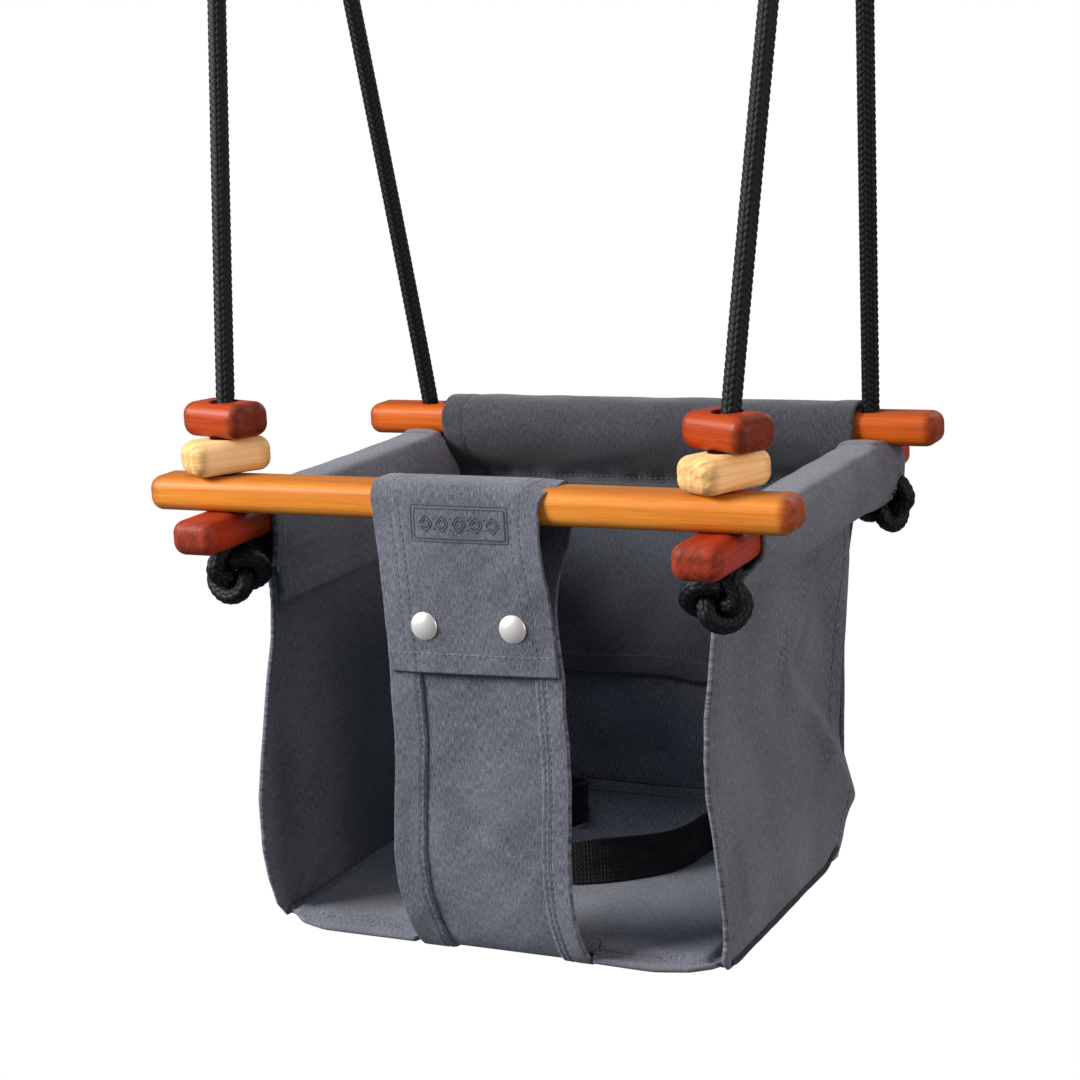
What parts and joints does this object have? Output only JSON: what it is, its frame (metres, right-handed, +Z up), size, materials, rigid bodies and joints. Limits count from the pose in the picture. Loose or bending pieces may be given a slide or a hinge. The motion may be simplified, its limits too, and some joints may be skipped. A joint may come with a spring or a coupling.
{
  "type": "toddler bucket swing",
  "caption": "Canvas bucket seat for a toddler, slung in a frame of wooden rails and hung by knotted ropes over steel rings, with a snap-down crotch strap and a waist belt.",
  "frame": {"origin": "centre of the left hanging ring's hole, where the swing's left side is hooked up; left is the viewer's left, seen from the front", "axes": "+X to the viewer's right along the front rail, +Y from the front of the seat to its back, +Z up along the way the swing hangs"},
  "size_m": [0.4084, 0.31, 0.8737],
  "materials": {
    "honey_wood": "honey-orange stain under satin varnish, darker at the cut ends",
    "red_wood": "red-brown stain under satin varnish, darker at the cut ends",
    "pale_wood": "clear satin varnish with visible growth rings",
    "black_rope": "braided polyester, slight sheen",
    "grey_canvas": "heathered mid-grey canvas, fine vertical streaks, matte",
    "black_webbing": "woven polyester tape, matte",
    "nickel": "bright nickel plate",
    "galvanised_steel": "zinc plated, satin",
    "black_plastic": "moulded, fine texture",
    "board": "thin plain board, hidden in the seat"
  },
  "bodies": {
    "hangers": {"left_hanging_ring": "galvanised_steel", "right_hanging_ring": "galvanised_steel"},
    "flap": {"strap_flap": "grey_canvas", "snap_caps": "nickel", "snap_sockets": "nickel"},
    "lower_left_block": {"lower_left_spacer": "pale_wood"},
    "upper_left_block": {"upper_left_spacer": "red_wood"},
    "lower_right_block": {"lower_right_spacer": "pale_wood"},
    "upper_right_block": {"upper_right_spacer": "red_wood"},
    "buckle_tongue": {"belt_buckle_male": "black_plastic"},
    "seat": {"front_rail": "honey_wood", "back_rail": "honey_wood", "left_side_rail": "red_wood", "right_side_rail": "red_wood", "left_rope": "black_rope", "right_rope": "black_rope", "front_left_knot": "black_rope", "front_right_knot": "black_rope", "back_left_knot": "black_rope", "back_right_knot": "black_rope", "seat_base": "grey_canvas", "seat_board": "board", "back_panel": "grey_canvas", "back_facing": "grey_canvas", "left_side_panel": "grey_canvas", "right_side_panel": "grey_canvas", "left_base_binding": "black_webbing", "right_base_binding": "black_webbing", "crotch_strap": "grey_canvas", "snap_studs": "nickel", "snap_posts": "nickel", "belt_right_webbing": "black_webbing", "belt_left_webbing": "black_webbing", "belt_buckle_female": "black_plastic"}
  },
  "joints": [
    {"name": "swing", "type": "hinge", "parent": "hangers", "child": "seat", "pos_m": [0.1762, 0, -0.024], "axis": [1, 0, 0], "range_deg": [-60, 60]},
    {"name": "lower_left_block_turn", "type": "hinge", "parent": "seat", "child": "lower_left_block", "pos_m": [0.03565, -0.1278, -0.5852], "axis": [0, 0, 1], "continuous": true},
    {"name": "upper_left_block_turn", "type": "hinge", "parent": "seat", "child": "upper_left_block", "pos_m": [0.03447, -0.12387, -0.5664], "axis": [0, 0, 1], "continuous": true},
    {"name": "lower_right_block_turn", "type": "hinge", "parent": "seat", "child": "lower_right_block", "pos_m": [0.31675, -0.1278, -0.5852], "axis": [0, 0, 1], "continuous": true},
    {"name": "upper_right_block_turn", "type": "hinge", "parent": "seat", "child": "upper_right_block", "pos_m": [0.31793, -0.12387, -0.5664], "axis": [0, 0, 1], "continuous": true},
    {"name": "flap_open", "type": "hinge", "parent": "seat", "child": "flap", "pos_m": [0.1812, -0.149, -0.6006], "axis": [-1, 0, 0], "range_deg": [0, 120]},
    {"name": "buckle_pull", "type": "slide", "parent": "seat", "child": "buckle_tongue", "axis": [-1, 0, 0], "range_m": [0, 0.026], "deforming": ["belt_left_webbing"]}
  ]
}
